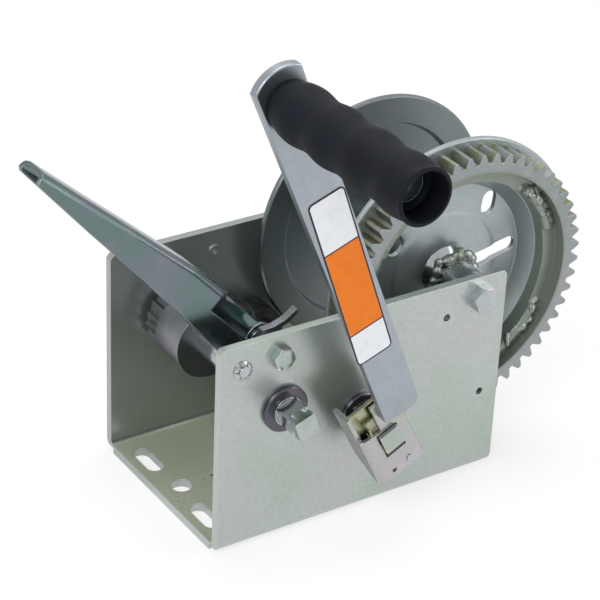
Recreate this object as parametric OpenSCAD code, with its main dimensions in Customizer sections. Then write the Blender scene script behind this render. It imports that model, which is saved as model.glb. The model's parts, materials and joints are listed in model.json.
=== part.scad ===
// Two-speed hand winch for a boat trailer: a bent steel frame, a rope reel on a bolt axle, two geared
// shafts, a removable crank and a hand brake lever. X runs along the frame, Y across it, Z up from the base.

/* [Frame] */
// Length of the bent frame
frame_l = 191; // [186:1:200]
// Width of the frame over both side plates
frame_w = 127; // [124:0.5:132]
// Height of the side plates
frame_h = 132; // [129:1:140]
// Thickness of the frame's sheet
sheet = 5; // [4:0.1:5.2]
// Outer radius of the two long bends
bend_r = 8; // [7:0.5:10]
// Radius at the lower corners of the side plates
foot_r = 5; // [3:0.5:7]
// Chamfer at the upper corners of the side plates
top_cut = 3; // [1:0.5:5]

/* [Base holes] */
// Distance of the bolt slots from each end of the base
slot_from_end = 11; // [9:0.5:16]
// Distance between the two slots of one end
slot_spacing = 66; // [58:1:68]
// Length of a slot, end to end
slot_l = 26; // [18:0.5:30]
// Width of a slot
slot_w = 10.4; // [7:0.1:11]
// Diameter of the round hole between two slots
centre_d = 12.5; // [8:0.5:13]
// Distance of the round holes from each end of the base
centre_from_end = 14.5; // [11:0.5:18]
// Distance of the locating holes from each end of the base
locator_from_end = 36; // [28:1:44]
// Diameter of the small locating holes
locator_d = 3; // [2:0.5:5]

/* [Gears] */
// Gear module, the same for all gears
tooth_m = 3; // [2.96:0.01:3.02]
// Teeth on the reel gear
reel_teeth = 53;
// Teeth on the intermediate gear
mid_teeth = 26;
// Teeth on each pinion
pinion_teeth = 11;
// Flank thinning of each tooth, for backlash
tooth_thin = 0.16; // [0.1:0.01:0.25]
// Angle of the high-speed shaft as seen from the reel axis
mesh_1 = 214.39; // [213:0.1:216]
// Angle of the low-speed shaft as seen from the high-speed shaft
mesh_2 = 159.34; // [158:0.1:161]
// Angle of one tooth of the reel gear
reel_phase = 39.17; // [36:0.1:42]
// Width of the reel gear's teeth
reel_face = 15.2; // [13:0.1:16]
// Width of the intermediate gear and of its pinion
mid_face = 6; // [5:0.1:6.4]
// Gap between the near side plate and the reel gear
gear_gap = 7.8; // [7.6:0.1:9]

/* [Reel] */
// Reel axis, from the frame's open end
reel_from_end = 172.7; // [170:0.1:176]
// Reel axis, above the base
reel_h = 119.7; // [118:0.1:123]
// Inner radius of the toothed ring
ring_in_r = 70.5; // [69:0.5:73]
// Radius of the near flange's rim
near_rim_r = 85.6; // [85:0.1:86.4]
// Radius of the far flange
far_rim_r = 80.5; // [76:0.5:83]
// Thickness of the pressed flanges
flange_t = 3; // [2.4:0.1:3.2]
// Outer radius of the rope barrel
barrel_r = 19.5; // [18.5:0.5:23]
// Wall of the rope barrel
barrel_wall = 2.5; // [2:0.1:4]
// Outer radius of the reel's hub tube
hub_r = 12; // [11:0.5:13]
// Gap between the far side plate and the far flange's rim
far_gap = 12; // [10:0.5:15]
// Diameter of the axle bolt
axle_d = 9.5; // [9:0.1:11]
// Width across the flats of the axle bolt's head
axle_head = 14.6; // [14:0.1:17]

/* [Shafts] */
// Diameter of both shafts
shaft_d = 17.5; // [16.5:0.1:18]
// Width across the flats of the square crank seats
square_af = 13; // [12:0.1:13.6]
// How far the high-speed shaft stands out of the frame
shaft_b_out = 32; // [31:0.5:35]
// How far the low-speed shaft stands out of the frame
shaft_a_out = 24; // [20:0.5:26]
// Radius of the latch's groove in the corners of each square seat
seat_groove_r = 6.9; // [6.7:0.1:7.2]
// Radius of the bushing flanges
bush_flange_r = 14; // [13.5:0.1:16]
// Radius of the bushing bodies
bush_r = 12; // [11:0.1:13]
// Radius of the brake drum
drum_r = 22; // [19:0.1:22.5]

/* [Hand brake] */
// Lever pivot, from the frame's open end
pivot_from_end = 38; // [36:0.5:40]
// Lever pivot, above the base
pivot_h = 119; // [117:0.5:120]
// Diameter of the pivot bolt
pivot_d = 8; // [7:0.1:9]
// Lean of the lever at rest, from level
lever_angle = 133.65; // [130:0.1:136]
// Length of the lever from its pivot to its tip
lever_l = 182; // [165:1:200]
// Outer width of the lever's channel
lever_w = 22; // [18:0.5:24]
// Thickness of the lever's sheet
lever_t = 2.5; // [2:0.1:3]
// Outer radius of the lever's two bends
lever_bend = 5; // [3.5:0.1:6]
// Travel of the lever from its stop to the applied brake
brake_travel = 8; // [6:0.5:9]
// Stop stud of the lever, from the frame's open end
stop_from_end = 14; // [12:0.5:17]
// Stop stud of the lever, above the base
stop_h = 117; // [112:0.5:118]
// Diameter of the stop stud
stop_d = 6.4; // [5:0.1:7]

/* [Crank] */
// Crank radius, from shaft to grip
crank_l = 234.4; // [205:0.5:245]
// Direction of the crank at rest
crank_angle = 109.85; // [100:0.05:120]
// Thickness of the crank arm
arm_t = 6; // [4:0.1:8]
// Width of the arm at the grip
arm_w = 29; // [26:0.5:33]
// Width of the arm at the bracket
arm_foot_w = 24; // [20:0.5:26]
// Turn of the bracket and of its square hole against the crank's direction
bracket_turn = 7; // [0:0.5:9]
// Width of the crank bracket
bracket_w = 31.6; // [29:0.1:34]
// Thickness of the bracket's sheet
bracket_t = 2.5; // [2:0.1:2.6]
// Length of the grip
grip_l = 112; // [90:1:120]
// Largest diameter of the grip
grip_d = 31.6; // [30:0.2:36]
// Diameter of the grip's rod
rod_d = 12.7; // [10:0.1:14]

/* [Hidden] */
$fn = 64;

fit = 0.05;
loose = 0.3;
over = 1;

near_out = -frame_w / 2;
near_in = near_out + sheet;
far_in = frame_w / 2 - sheet;
far_out = frame_w / 2;
open_x = -frame_l / 2;

pressure = 25;
addendum = 0.8 * tooth_m;
dedendum = 1.05 * tooth_m;
function pitch_r(teeth) = tooth_m * teeth / 2;
function polar(r, a) = [r * cos(a), r * sin(a)];

reel = [open_x + reel_from_end, reel_h];
shaft_b_at = reel + polar(pitch_r(reel_teeth + pinion_teeth), mesh_1);
shaft_a_at = shaft_b_at + polar(pitch_r(mid_teeth + pinion_teeth), mesh_2);
pivot = [open_x + pivot_from_end, pivot_h];
stop_at = [open_x + stop_from_end, stop_h];
grip_at = shaft_b_at + polar(crank_l, crank_angle);

mid_phase = 0;
pinion_b_phase = mesh_1 + 180 + (mesh_1 - reel_phase) * reel_teeth / pinion_teeth + 180 / pinion_teeth;
pinion_a_phase = mesh_2 + 180 + (mesh_2 - mid_phase) * mid_teeth / pinion_teeth + 180 / pinion_teeth;

shaft_r = shaft_d / 2;
axle_r = axle_d / 2;
axle_head_t = 6.8;
axle_washer_t = 2.5;
axle_nut_t = 8.5;
axle_end = far_out + axle_washer_t + axle_nut_t + 4;
thrust_t = 1.5;
weld = 3.5;
sleeve_wall = 3.6;
sleeve_r = axle_r + sleeve_wall;
pivot_r = pivot_d / 2;
pivot_head = 12;
pivot_nut_t = 6.5;
pivot_end = far_out + pivot_nut_t + 3.5;
stop_r = stop_d / 2;
rod_r = rod_d / 2;

gear_y = near_in + gear_gap;
rim_y = gear_y + reel_face;
floor_y = gear_y + 8;
stitch_r = 3.2;
stitch_at = [34, 136, 224, 316];
stitch_half = 16;
web_y = rim_y + 8.5;
plateau_y = web_y - 1.2;
plateau_r = 36;
web_r = 54;
web_slope = 7;
far_face = far_in - far_gap - flange_t;
far_dish = 4;
far_step_r = 63.7;

bush_flange_t = 3;
bush_in = 1;
bush_l = bush_flange_t + sheet + bush_in;
mid_y = near_in + bush_in + loose;
shaft_far = far_out + 9;
ring_y = far_out + bush_flange_t + loose;
ring_t = 1.5;
ring_groove = 1;

guard_holes = [[149.8, 111.5], [178.3, 54.3]];
far_hole = [69, 118.2];
guard_hole_r = 2.3;
far_hole_r = 1.5;
far_hole_wall = 2.4;
far_hole_rim = 1;

nose_b = near_out - shaft_b_out;
nose_a = near_out - shaft_a_out;
ratchet_y = near_in + 7.5;
ratchet_t = 6;
pawl_t = 4.5;
ratchet_r = 17;
ratchet_teeth = 9;
drum_l = 25;
boss_l = 14;
drum_gap = 3;
drum_y = far_in - bush_in - drum_gap - boss_l - drum_l;
collar_r = 14.6;
collar_l = 17;
shoe_y = drum_y + 1;
shoe_w = 10;
lever_y = near_out + 21;
lever_far = lever_y + lever_w;
lever_deep = 40;
ear_width = 4;
torque_r = pivot_r + 3;
shoe_gap = 0.35;
lining_t = 2;
shoe_t = 2.6;
lining_rivet_r = 1.6;
shoe_from = -30;
shoe_to = 48;

arm_back = nose_b + 2.7;
arm_front = arm_back - arm_t;
bracket_front = arm_back;
bracket_angle = crank_angle + bracket_turn;
bracket_off = -1.3;
bracket_low = -27.3;
bracket_high = 27;
bracket_depth = 18;
bracket_bend = 3.5;
window_half = square_af / 2 + 0.5;
window_low = -11.3;
window_top = square_af / 2 + 0.4;
notch_right = -3;
rivet_r = 2.2;
bracket_rivet_at = [[-22.7, 5.2], [21, 6]];
bracket_hole_at = [-22.8, -6.2];
bracket_hole_r = 1.6;
latch_y = bracket_front + bracket_t + 0.2;
latch_t = 2.4;
latch_left = -10.2;
latch_lip = 2.5;
hub_y = latch_y + latch_t + loose;
hub_l = 12;
hub_half = 13;
grip_y = arm_front - 1;
grip_end = grip_y - grip_l;
grip_wall = 3;
grip_in = 14;
rod_head_t = 3;
core_wall = 3.2;
label_t = 0.3;
label_along = [64, 175];
label_across = [-8, 15];

// A flat shape in X and Z, as a plate from y0 to y1.
module plate_y(y0, y1) {
    translate([0, y1, 0]) rotate([90, 0, 0]) linear_extrude(y1 - y0) children();
}

// A round bar along Y about a point of the XZ plane.
module bar_y(at, r, y0, y1) {
    translate([at[0], y0, at[1]]) rotate([-90, 0, 0]) cylinder(r = r, h = y1 - y0);
}

// A turned shape about an axis along Y, from points of radius and Y.
module turned_y(at, points) {
    translate([at[0], 0, at[1]]) rotate([-90, 0, 0]) rotate_extrude() polygon(points);
}

module tube_y(at, r_out, r_in, y0, y1) {
    difference() {
        bar_y(at, r_out, y0, y1);
        bar_y(at, r_in, y0 - over, y1 + over);
    }
}

// A hexagon across the given flats, as a plate along Y.
module hex_y(at, flats, y0, y1, turn = 0) {
    translate([at[0], y0, at[1]]) rotate([-90, 0, 0]) rotate([0, 0, turn])
        cylinder(d = flats / cos(30), h = y1 - y0, $fn = 6);
}

// A hexagon head whose outer corners are turned off.
module hex_head_y(at, flats, y0, y1, turn = 0) {
    intersection() {
        hex_y(at, flats, y0, y1, turn);
        turned_y(at, [[0, y0], [flats * 0.48, y0], [flats * 0.62, y0 + flats * 0.09],
            [flats * 0.62, y1], [0, y1]]);
    }
}

// The involute function, in degrees.
function inv(a) = tan(a) * 180 / PI - a;

// Half the angle of a tooth at radius r.
function half_tooth(teeth, r) =
    let (base = pitch_r(teeth) * cos(pressure), half = 90 / teeth - tooth_thin / pitch_r(teeth) * 180 / PI)
    half + inv(pressure) - (r > base ? inv(acos(base / r)) : 0);

// Outline of a spur gear with one tooth at the given angle.
module gear_2d(teeth, phase) {
    root = pitch_r(teeth) - dedendum;
    tip = pitch_r(teeth) + addendum;
    low = max(root, pitch_r(teeth) * cos(pressure));
    radii = [root, low + 0.01, low + (tip - low) * 0.4, low + (tip - low) * 0.75, tip];
    count = len(radii);
    polygon([for (i = [0 : teeth - 1]) let (mid = phase + i * 360 / teeth)
        for (k = [0 : 2 * count - 1])
            let (side = k < count ? -1 : 1, r = radii[k < count ? k : 2 * count - 1 - k])
            polar(r, mid + side * half_tooth(teeth, r))]);
}

// Outline of a ratchet wheel, with one tooth's tip at the given angle and the steep sides turned clockwise.
module ratchet_2d(teeth, r_out, r_in, phase = 0) {
    polygon([for (i = [0 : teeth - 1]) for (side = [-4, 0])
        polar(side < 0 ? r_in : r_out, phase + i * 360 / teeth + side)]);
}

// A slot that runs along its second axis.
module slot_2d(length, width) {
    for (side = [-1, 1]) translate([0, side * (length - width) / 2]) circle(d = width);
    square([width, length - width], center = true);
}

module rounded_u_2d(width, height, r) {
    for (side = [-1, 1]) translate([side * (width / 2 - r), r]) circle(r);
    translate([-width / 2 + r, 0]) square([width - 2 * r, height]);
    translate([-width / 2, r]) square([width, height - r]);
}

// The four vertical edges of the side plates are trimmed here: a rounded foot and a small top chamfer.
module plate_trim() {
    for (end = [-1, 1]) scale([end, 1, 1]) {
        plate_y(near_out - over, far_out + over)
            polygon([[frame_l / 2 - top_cut, frame_h + over], [frame_l / 2 + over, frame_h + over],
                [frame_l / 2 + over, frame_h - top_cut - over]]);
        for (side = [-1, 1]) scale([1, side, 1]) plate_y(far_out - bend_r, far_out + over)
            difference() {
                translate([frame_l / 2 - foot_r, -over]) square(foot_r + over);
                translate([frame_l / 2 - foot_r, foot_r - over]) square([foot_r, over * 3]);
                translate([frame_l / 2 - foot_r, foot_r]) circle(foot_r);
            }
    }
}

module frame() {
    color([0.72, 0.74, 0.72]) difference() {
        union() {
            rotate([90, 0, 90]) translate([0, 0, open_x]) linear_extrude(frame_l) difference() {
                rounded_u_2d(frame_w, frame_h, bend_r);
                translate([0, sheet]) rounded_u_2d(frame_w - 2 * sheet, frame_h, bend_r - sheet);
            }
            bar_y([open_x, 0] + far_hole, far_hole_r + far_hole_wall, far_in - far_hole_rim,
                far_in + far_hole_rim);
        }
        plate_trim();
        for (end = [-1, 1]) {
            for (side = [-1, 1])
                translate([end * (frame_l / 2 - slot_from_end), side * slot_spacing / 2, -over])
                    linear_extrude(sheet + 2 * over) slot_2d(slot_l, slot_w);
            translate([end * (frame_l / 2 - centre_from_end), 0, -over])
                cylinder(d = centre_d, h = sheet + 2 * over);
            translate([end * (frame_l / 2 - locator_from_end), 0, -over])
                cylinder(d = locator_d, h = sheet + 2 * over);
        }
        bar_y(shaft_a_at, bush_r, near_out - over, far_out + over);
        bar_y(shaft_b_at, bush_r, near_out - over, far_out + over);
        bar_y(reel, axle_r + fit, near_out - over, far_out + over);
        bar_y(pivot, pivot_r + fit, near_out - over, far_out + over);
        bar_y(stop_at, stop_r + fit, near_out - over, near_in + over);
        for (at = guard_holes) bar_y([open_x, 0] + at, guard_hole_r, near_out - over, near_in + over);
        bar_y([open_x, 0] + far_hole, far_hole_r, far_in - far_hole_rim - over, far_out + over);
    }
}

// Four flanged bushings, two on each shaft, with their flanges outside the plates.
module bushings() {
    bore = shaft_r + fit;
    color([0.45, 0.45, 0.47]) for (at = [shaft_a_at, shaft_b_at]) for (side = [-1, 1]) scale([1, side, 1])
        turned_y(at, [[bore, far_out - bush_l + bush_flange_t], [bush_r, far_out - bush_l + bush_flange_t],
            [bush_r, far_out], [bush_flange_r, far_out], [bush_flange_r, far_out + bush_flange_t - 0.8],
            [bush_flange_r - 0.8, far_out + bush_flange_t], [bore, far_out + bush_flange_t]]);
}

module axle_bolt() {
    color([0.75, 0.77, 0.78]) {
        hex_head_y(reel, axle_head, near_out - axle_head_t, near_out, 8);
        bar_y(reel, axle_r, near_out - over, axle_end);
    }
}

module axle_washer() {
    color([0.7, 0.72, 0.72]) tube_y(reel, 2 * axle_r, axle_r + fit, far_out, far_out + axle_washer_t);
}

module axle_nut() {
    color([0.75, 0.77, 0.78]) difference() {
        hex_y(reel, axle_head, far_out + axle_washer_t, far_out + axle_washer_t + axle_nut_t, 20);
        bar_y(reel, axle_r, far_out, axle_end);
    }
}

module axle_sleeve() {
    color([0.6, 0.6, 0.6]) tube_y(reel, sleeve_r, axle_r + fit, near_in, far_in);
}

module thrust_washers() {
    color([0.6, 0.6, 0.6]) {
        tube_y(reel, hub_r, sleeve_r + fit, near_in, near_in + thrust_t);
        tube_y(reel, hub_r, sleeve_r + fit, far_in - thrust_t, far_in);
    }
}

// The hub tube turns on the fixed sleeve and carries the weld rings that hold both flanges.
module hub_tube() {
    y0 = near_in + thrust_t + loose;
    y1 = far_in - thrust_t - loose;
    seam = far_face + far_dish + flange_t;
    color([0.7, 0.72, 0.7]) turned_y(reel, [[sleeve_r + fit, y0], [hub_r, y0],
        [hub_r, plateau_y - weld], [hub_r + weld, plateau_y], [hub_r, plateau_y],
        [hub_r, seam], [hub_r + weld, seam], [hub_r, seam + weld], [hub_r, y1], [sleeve_r + fit, y1]]);
}

// The pressed near flange: a flat rim that carries the toothed ring, a dished web and a raised middle.
module near_flange() {
    t = flange_t;
    slot_turn = 10;
    color([0.73, 0.75, 0.74]) difference() {
        turned_y(reel, [[hub_r, plateau_y], [plateau_r - 2, plateau_y], [plateau_r + 2, web_y],
            [web_r, web_y], [web_r + web_slope, rim_y], [near_rim_r - 0.8, rim_y],
            [near_rim_r, rim_y + 0.8], [near_rim_r, rim_y + t],
            [web_r + web_slope + 1.5, rim_y + t], [web_r + 1.5, web_y + t], [plateau_r + 0.5, web_y + t],
            [plateau_r - 3.5, plateau_y + t], [hub_r, plateau_y + t]]);
        plate_y(plateau_y - over, web_y + t + over) {
            translate(reel + [29.8, 36.2]) rotate(-8) slot_2d(15, 10);
            translate(reel + [33.6, 2.4]) rotate(slot_turn - 90) slot_2d(37, 9.6);
            translate(reel + polar(43.6, 146)) circle(6.4);
        }
    }
}

// The toothed ring, with a shelf inside it and four weld stitches in the corner beside the near flange.
module reel_gear() {
    shelf_in = web_r + web_slope + 0.5;
    color([0.74, 0.75, 0.7]) {
        difference() {
            plate_y(gear_y, rim_y) translate(reel) gear_2d(reel_teeth, reel_phase);
            bar_y(reel, ring_in_r, gear_y - over, floor_y);
            bar_y(reel, shelf_in, gear_y - over, rim_y + over);
        }
        for (a = stitch_at) intersection() {
            translate([reel[0], 0, reel[1]]) rotate([-90, 0, 0]) rotate_extrude()
                translate([shelf_in + stitch_r, floor_y]) circle(stitch_r);
            plate_y(gear_y, floor_y + stitch_r) translate(reel)
                polygon(concat([[0, 0]], arc(near_rim_r, a - stitch_half, a + stitch_half)));
        }
    }
}

module barrel() {
    color([0.68, 0.7, 0.7])
        tube_y(reel, barrel_r, barrel_r - barrel_wall, plateau_y + flange_t, far_face + far_dish);
}

// The pressed far flange: a flat outer band and a dished middle.
module far_flange() {
    t = flange_t;
    color([0.66, 0.69, 0.7]) turned_y(reel, [[hub_r, far_face + far_dish],
        [far_step_r - 2, far_face + far_dish], [far_step_r, far_face], [far_rim_r - 1, far_face],
        [far_rim_r, far_face + 1], [far_rim_r, far_face + t],
        [far_step_r + 1.4, far_face + t], [far_step_r - 0.6, far_face + far_dish + t],
        [hub_r, far_face + far_dish + t]]);
}

// A shaft with a square crank seat, a groove in it for the latch, and a ring groove at its far end.
module shaft(at, nose, turn) {
    seat = near_out - bush_flange_t - 1.5;
    groove = nose + latch_y - loose - nose_b;
    difference() {
        union() {
            intersection() {
                bar_y(at, shaft_r, nose, seat);
                plate_y(nose, seat) translate(at) rotate(turn) square(square_af, center = true);
            }
            bar_y(at, shaft_r, seat, shaft_far);
        }
        tube_y(at, shaft_r + over, seat_groove_r, groove, groove + latch_t + 2 * loose);
        tube_y(at, shaft_r + over, shaft_r - ring_groove, ring_y, ring_y + ring_t + 0.1);
    }
}

module shaft_a() {
    color([0.72, 0.74, 0.74]) shaft(shaft_a_at, nose_a, 20);
}

module shaft_b() {
    color([0.72, 0.74, 0.74]) shaft(shaft_b_at, nose_b, bracket_angle);
}

// A gear or wheel that is pressed on its shaft.
module wheel(at, y0, y1) {
    difference() {
        plate_y(y0, y1) translate(at) children();
        bar_y(at, shaft_r, y0 - over, y1 + over);
    }
}

module pinion_a() {
    color([0.6, 0.6, 0.58]) wheel(shaft_a_at, mid_y, mid_y + mid_face) gear_2d(pinion_teeth, pinion_a_phase);
}

module pinion_b() {
    color([0.6, 0.6, 0.58])
        wheel(shaft_b_at, gear_y + 0.5, rim_y - 0.7) gear_2d(pinion_teeth, pinion_b_phase);
}

module intermediate_gear() {
    color([0.6, 0.6, 0.58]) wheel(shaft_b_at, mid_y, mid_y + mid_face) gear_2d(mid_teeth, mid_phase);
}

module ratchet_wheel() {
    color([0.55, 0.55, 0.54])
        wheel(shaft_a_at, ratchet_y, ratchet_y + ratchet_t)
            ratchet_2d(ratchet_teeth, ratchet_r, ratchet_r - 4, 6);
}

// The brake drum, with a fluted boss behind it that reaches the far bushing.
module brake_drum() {
    color([0.74, 0.74, 0.76]) {
        tube_y(shaft_a_at, drum_r, shaft_r, drum_y, drum_y + drum_l);
        wheel(shaft_a_at, drum_y + drum_l, drum_y + drum_l + boss_l)
            ratchet_2d(ratchet_teeth * 2, drum_r - 1, drum_r - 3);
    }
}

module collar_b() {
    color([0.2, 0.2, 0.2])
        tube_y(shaft_b_at, collar_r, shaft_r, far_in - collar_l, far_in - bush_in - loose);
}

module ring(at) {
    difference() {
        bar_y(at, shaft_r + 2.2, ring_y, ring_y + ring_t);
        bar_y(at, shaft_r - ring_groove, ring_y - over, ring_y + ring_t + over);
        plate_y(ring_y - over, ring_y + ring_t + over) translate(at) rotate(-90) translate([0, -3.5])
            square([shaft_r + 4, 7]);
    }
}

module ring_a() {
    color([0.35, 0.35, 0.36]) ring(shaft_a_at);
}

module ring_b() {
    color([0.35, 0.35, 0.36]) ring(shaft_b_at);
}

module pivot_bolt() {
    color([0.75, 0.77, 0.78]) {
        hex_head_y(pivot, pivot_head, near_out - 5.3, near_out, 12);
        bar_y(pivot, pivot_r, near_out - over, pivot_end);
    }
}

module pivot_nut() {
    color([0.75, 0.77, 0.78]) difference() {
        hex_y(pivot, pivot_head + 1, far_out, far_out + pivot_nut_t, 12);
        bar_y(pivot, pivot_r, far_out - over, pivot_end + over);
    }
}

// Spacers on the pivot bolt keep the pawl, the lever and the far plate apart.
module pivot_spacers() {
    r_in = pivot_r + fit;
    color([0.6, 0.6, 0.6]) {
        tube_y(pivot, pivot_r + 2, r_in, near_in, ratchet_y - loose);
        tube_y(pivot, pivot_r + 3, r_in, shoe_y + shoe_w + loose, far_in);
    }
}

// The pawl: a nose that reaches the ratchet wheel and a bent tab for the finger above the plate.
module pawl() {
    color([0.7, 0.72, 0.7]) difference() {
        plate_y(ratchet_y, ratchet_y + pawl_t) translate(pivot) {
            circle(8);
            polygon([[-7.8, 1], [-10, -14], [-7.7, -19.1], [-4, -16], [5, -6]]);
            polygon([[-6, 5.3], [-1, 7.6], [4, 7.8], [12.2, 10.8], [19.4, 16.2], [17.6, 18.4], [10.8, 13.5],
                [3, 10.9], [-4, 10.6]]);
        }
        bar_y(pivot, pivot_r + fit, ratchet_y - over, ratchet_y + ratchet_t + over);
    }
}

function cross_ring(centre, across, up, r, sides) =
    [for (k = [0 : sides - 1]) let (a = 360 * k / sides) centre + r * cos(a) * across + r * sin(a) * up];

// A coil as one unbroken tube about an axis along Y, with points worked out from its turns.
module coil_y(at, r, wire_r, y0, y1, turns, start = 0) {
    steps = ceil(turns * 16);
    sides = 6;
    axis = [0, 1, 0];
    points = [for (i = [0 : steps]) let (a = start + 360 * turns * i / steps, out = [cos(a), 0, sin(a)])
        each cross_ring([at[0], y0 + (y1 - y0) * i / steps, at[1]] + r * out, out, axis, wire_r, sides)];
    walls = [for (i = [0 : steps - 1]) for (k = [0 : sides - 1])
        let (p = i * sides + k, q = i * sides + (k + 1) % sides)
        each [[p, p + sides, q], [q, p + sides, q + sides]]];
    ends = [for (k = [1 : sides - 2]) each [[0, k, k + 1],
        [steps * sides, steps * sides + k + 1, steps * sides + k]]];
    polyhedron(concat(walls == [] ? [] : points), concat(walls, ends), convexity = 8);
}

module pawl_spring() {
    y0 = near_in + 1;
    y1 = ratchet_y - 1.2;
    color([0.5, 0.5, 0.5]) coil_y(pivot, pivot_r + 3.2, 0.5, y0, y1, 3);
    echo(pawl_spring_gap = (y1 - y0) / 3 - 1);
}

// Lever coordinates: along the lever from its pivot, then up to the right across it.
function lever_pt(along, across) = pivot + polar(along, lever_angle) + polar(across, lever_angle - 90);

// A point of the XZ plane, turned about the lever's pivot.
function about_pivot(at, a) = let (d = at - pivot)
    pivot + [d[0] * cos(a) - d[1] * sin(a), d[0] * sin(a) + d[1] * cos(a)];

// A straight length of the lever's channel, with its closed side along the given line.
module lever_run(from, to) {
    run = to - from;
    translate([pivot[0], 0, pivot[1]]) rotate([0, -lever_angle, 0]) translate([from[0], 0, -from[1]])
        rotate([0, atan2(run[1], run[0]), 0]) translate([-10, (lever_y + lever_far) / 2, 0])
        rotate([90, 0, 90]) linear_extrude(norm(run) + 20) difference() {
            rounded_u_2d(lever_w, lever_deep, lever_bend);
            translate([0, lever_t]) rounded_u_2d(lever_w - 2 * lever_t, lever_deep, lever_bend - lever_t);
        }
}

// The part of the channel inside an outline of the lever's side.
module lever_part(from, to, side) {
    intersection() {
        plate_y(lever_y, lever_far) polygon([for (p = side) lever_pt(p[0], p[1])]);
        lever_run(from, to);
    }
}

// The lever's own frame: X along it from the pivot, Y across the frame, Z down.
module lever_place() {
    translate([pivot[0], 0, pivot[1]]) rotate([0, -lever_angle, 0]) children();
}

// A channel, open below: straight at the pivot, then tapered to its tip. Its closed side ends before the
// pivot on a slant, and only two ears go on to the torque tube.
module brake_lever() {
    heel = [-20, 9.4];
    knee = [66, 7.8];
    tip = [lever_l, -3.2];
    low = [70, -15.3];
    web_near = 41;
    web_far = 22;
    ear_top = 5;
    color([0.55, 0.6, 0.66]) difference() {
        union() {
            difference() {
                lever_part(heel, knee, [[-13, -8], [-8, -15], [-2, -19.5], [20, -19.5], low,
                    knee + [0, over], [web_far + 3, heel[1] + over], [web_far - 2, ear_top],
                    [0, ear_top + 3], [-9, ear_top], [-13, -1]]);
                lever_place() translate([0, 0, -2 * lever_w]) linear_extrude(2 * lever_w + ear_top - 0.2)
                    polygon([[-2 * torque_r, lever_y - over], [web_near, lever_y - over],
                        [web_near, lever_y + ear_width], [web_far, lever_far - lever_t],
                        [-2 * torque_r, lever_far - lever_t]]);
            }
            lever_part(knee, tip, [low, [122, -13.3], [lever_l - 2, -10.2], [lever_l, -8.6], tip + [0, -1.2],
                tip + [-1.5, 0.6], knee + [0, over]]);
            bar_y(pivot, torque_r + 2.4, lever_y, lever_y + lever_t);
        }
        bar_y(pivot, torque_r, lever_y - over, lever_far + over);
        for (a = [0, brake_travel / 2, brake_travel])
            bar_y(about_pivot(stop_at, a), stop_r + loose, lever_y - over, lever_y + lever_t + over);
    }
}

module torque_tube() {
    color([0.6, 0.62, 0.63]) tube_y(pivot, torque_r, pivot_r + fit, lever_y - 1.5, shoe_y + shoe_w);
}

// The shoe and its lining are drawn where they press the drum, then turned back to rest about the pivot.
module brake_rest() {
    translate([pivot[0], 0, pivot[1]]) rotate([0, -brake_travel, 0]) translate([-pivot[0], 0, -pivot[1]])
        children();
}

function arc(r, from, to, steps = 12) = [for (i = [0 : steps]) polar(r, from + (to - from) * i / steps)];

// A curved shoe on an arm from a boss that is welded to the torque tube.
module shoe_arm() {
    r0 = drum_r + shoe_gap + lining_t;
    arm_to = 60;
    boss = pivot - shaft_a_at;
    color([0.55, 0.57, 0.58]) brake_rest() difference() {
        plate_y(shoe_y, shoe_y + shoe_w) {
            translate(shaft_a_at) polygon(concat(arc(r0 + shoe_t, shoe_from, arm_to),
                [boss + [7.8, -3], boss + [-4, -4]], arc(r0 - 1.5, 84, shoe_from)));
            translate(pivot) circle(torque_r + 1.6);
        }
        bar_y(pivot, torque_r, drum_y - over, drum_y + drum_l + over);
        bar_y(shaft_a_at, r0, drum_y - over, drum_y + drum_l + over);
    }
}

module brake_lining() {
    r0 = drum_r + shoe_gap;
    r1 = r0 + lining_t;
    color([0.3, 0.22, 0.18]) brake_rest() difference() {
        intersection() {
            bar_y(shaft_a_at, r1, shoe_y, shoe_y + shoe_w);
            plate_y(shoe_y - over, shoe_y + shoe_w + over) translate(shaft_a_at)
                polygon(concat([[0, 0]], arc(r1 + 2, shoe_from, shoe_to)));
        }
        bar_y(shaft_a_at, r0, drum_y - over, drum_y + drum_l + over);
        lining_rivets_at() cylinder(r = lining_rivet_r, h = 3 * lining_t, center = true);
    }
}

module lining_rivets_at() {
    for (a = [-15, 32]) translate([shaft_a_at[0], shoe_y + shoe_w / 2, shaft_a_at[1]])
        rotate([0, -a, 0]) translate([drum_r + shoe_gap + lining_t, 0, 0]) rotate([0, 90, 0]) children();
}

module lining_rivets() {
    color([0.75, 0.6, 0.35]) brake_rest() lining_rivets_at()
        translate([0, 0, -lining_t + 0.8]) cylinder(r = lining_rivet_r, h = lining_t - 0.9);
}

// A short stud through the near plate; the lever's near side rests on it.
module stop_stud() {
    color([0.65, 0.66, 0.66]) {
        bar_y(stop_at, stop_r, near_out - 2.5, lever_y + lever_t + 1);
        bar_y(stop_at, stop_r + 2, near_in, near_in + 2);
    }
}

// The push-on star nut that holds the stud.
module push_nut() {
    color([0.7, 0.72, 0.72]) difference() {
        turned_y(stop_at, [[stop_r, near_out], [stop_r + 2.6, near_out], [stop_r + 2.6, near_out - 0.6],
            [stop_r + 1.2, near_out - 1.5], [stop_r, near_out - 1.5]]);
        for (k = [0 : 5]) translate([stop_at[0], near_out - 1.3, stop_at[1]]) rotate([0, 60 * k, 0])
            translate([stop_r + 1.2, 0, 0]) cube([4, 1.4, 0.9], center = true);
    }
}

// Crank coordinates: along the crank from its shaft, then across it to the right.
function crank_pt(along, across) =
    shaft_b_at + polar(along, crank_angle) + polar(across, crank_angle - 90);

// The same for the bracket, which is turned against the crank.
function bracket_pt(along, across) =
    shaft_b_at + polar(along, bracket_angle) + polar(across, bracket_angle - 90);

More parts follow.
